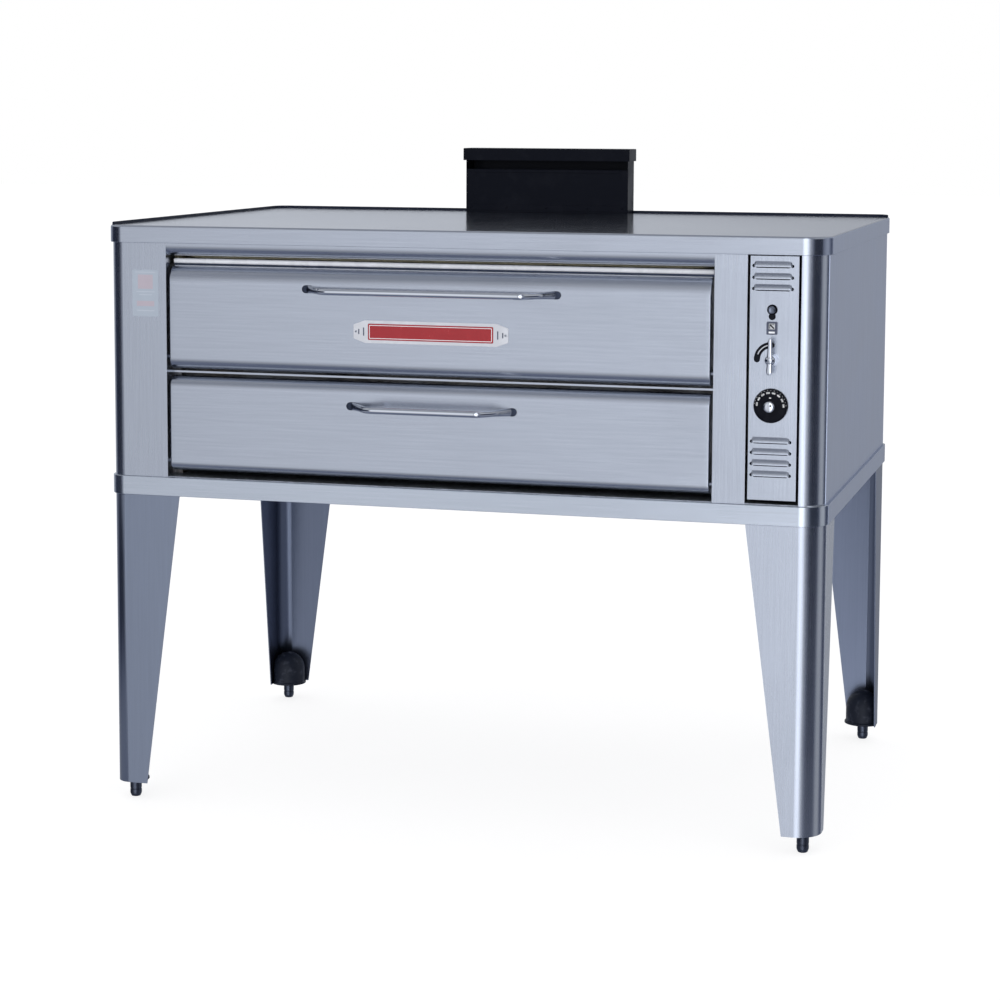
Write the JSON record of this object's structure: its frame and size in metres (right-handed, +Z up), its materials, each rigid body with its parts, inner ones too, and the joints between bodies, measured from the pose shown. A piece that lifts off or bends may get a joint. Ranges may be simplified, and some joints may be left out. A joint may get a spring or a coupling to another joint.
{
  "type": "deck pizza oven",
  "caption": "Gas deck pizza oven on a tapered-leg stand: drop-down baking and burner doors with bar handles, louvred control panel and a rear draft hood.",
  "frame": {"origin": "on the floor, under the middle of the whole object's bounding box", "axes": "+X to the right seen from the front, +Y to the back, +Z up; the doors and controls face -Y"},
  "size_m": [1.534, 1.122, 1.395],
  "materials": {
    "stainless": "brushed, vertical grain on the fronts",
    "galvanised_steel": "galvanised sheet with faint spangle",
    "oven_steel": "heat-stained aluminised sheet",
    "chrome": "polished plating",
    "plated_steel": "zinc plated, dull",
    "cast_black": "black painted casting",
    "black_enamel": "satin black paint",
    "black_plastic": "moulded black, satin",
    "indicator_frame": "grey moulded frame",
    "lens": "pale moulded lens",
    "red_enamel": "glossy enamel on a bright plate",
    "label": "pale printed film, blank",
    "hearth_stone": "pressed refractory slab",
    "burner_iron": "heat-blackened pipe",
    "gas_pipe": "black steel pipe",
    "brass": "dull machined brass",
    "thermostat_metal": "die-cast body",
    "mineral_wool": "matted wool"
  },
  "bodies": {
    "oven_body": {"stand_rail_front": "stainless", "stand_rail_rear": "stainless", "stand_rail_left": "stainless", "stand_rail_right": "stainless", "leg_front_left": "stainless", "leg_front_right": "stainless", "leg_rear_left": "stainless", "leg_rear_right": "stainless", "side_panel_left": "stainless", "side_panel_right": "stainless", "front_stile_left": "stainless", "front_stile_right": "stainless", "corner_post_right": "stainless", "front_header": "stainless", "door_divider": "stainless", "top_cap": "stainless", "control_panel": "stainless", "back_panel": "galvanised_steel", "base_pan": "galvanised_steel", "control_box_wall": "galvanised_steel", "chamber_liner": "oven_steel", "chamber_ceiling": "oven_steel", "deck_supports": "oven_steel", "heat_baffle": "oven_steel", "leg_bolts": "plated_steel", "door_springs": "plated_steel", "foot_sockets": "cast_black", "draft_hood": "black_enamel", "draft_hood_lid": "black_enamel", "valve_quadrant": "black_enamel", "igniter_escutcheon": "black_enamel", "indicator_bezel": "indicator_frame", "indicator_lens": "lens", "rating_label": "label", "hearth_stones": "hearth_stone", "burner_tubes": "burner_iron", "gas_manifold": "gas_pipe", "gas_supply_pipe": "gas_pipe", "gas_valve_body": "brass", "hinge_bushings": "brass", "pilot_burner": "brass", "thermostat_body": "thermostat_metal", "insulation_batts": "mineral_wool"},
    "upper_door": {"upper_door_skin": "stainless", "upper_door_liner": "oven_steel", "upper_door_handle": "chrome", "upper_door_pins": "plated_steel", "nameplate": "red_enamel"},
    "lower_door": {"lower_door_skin": "stainless", "lower_door_liner": "oven_steel", "lower_door_handle": "chrome", "lower_door_pins": "plated_steel"},
    "thermostat_control": {"thermostat_dial": "black_plastic", "thermostat_knob": "chrome"},
    "valve_lever": {"gas_valve_lever": "chrome"},
    "igniter": {"igniter_button": "chrome"},
    "foot_front_left": {"levelling_foot_front_left": "plated_steel"},
    "foot_front_right": {"levelling_foot_front_right": "plated_steel"},
    "foot_rear_left": {"levelling_foot_rear_left": "plated_steel"},
    "foot_rear_right": {"levelling_foot_rear_right": "plated_steel"}
  },
  "joints": [
    {"name": "upper_door_hinge", "type": "hinge", "parent": "oven_body", "child": "upper_door", "pos_m": [0, -0.471, 0.964], "axis": [1, 0, 0], "range_deg": [0, 90], "stiffness_Nm_per_rad": 3, "springref_deg": -25.78},
    {"name": "lower_door_hinge", "type": "hinge", "parent": "oven_body", "child": "lower_door", "pos_m": [0, -0.476, 0.7425], "axis": [1, 0, 0], "range_deg": [0, 90], "stiffness_Nm_per_rad": 2.2, "springref_deg": -25.78},
    {"name": "thermostat_turn", "type": "hinge", "parent": "oven_body", "child": "thermostat_control", "pos_m": [0.655, -0.496, 0.907], "axis": [0, 1, 0], "range_deg": [0, 300]},
    {"name": "valve_lever_turn", "type": "hinge", "parent": "oven_body", "child": "valve_lever", "pos_m": [0.655, -0.496, 0.9985], "axis": [0, -1, 0], "range_deg": [0, 90]},
    {"name": "igniter_press", "type": "slide", "parent": "oven_body", "child": "igniter", "axis": [0, 1, 0], "range_m": [0, 0.0045], "stiffness_N_per_m": 300, "springref_m": -0.002},
    {"name": "foot_front_left_turn", "type": "hinge", "parent": "oven_body", "child": "foot_front_left", "pos_m": [-0.728, -0.462, 0.02], "axis": [0, 0, 1], "continuous": true},
    {"name": "foot_front_right_turn", "type": "hinge", "parent": "oven_body", "child": "foot_front_right", "pos_m": [0.728, -0.462, 0.02], "axis": [0, 0, 1], "continuous": true},
    {"name": "foot_rear_left_turn", "type": "hinge", "parent": "oven_body", "child": "foot_rear_left", "pos_m": [-0.728, 0.482, 0.02], "axis": [0, 0, 1], "continuous": true},
    {"name": "foot_rear_right_turn", "type": "hinge", "parent": "oven_body", "child": "foot_rear_right", "pos_m": [0.728, 0.482, 0.02], "axis": [0, 0, 1], "continuous": true}
  ]
}
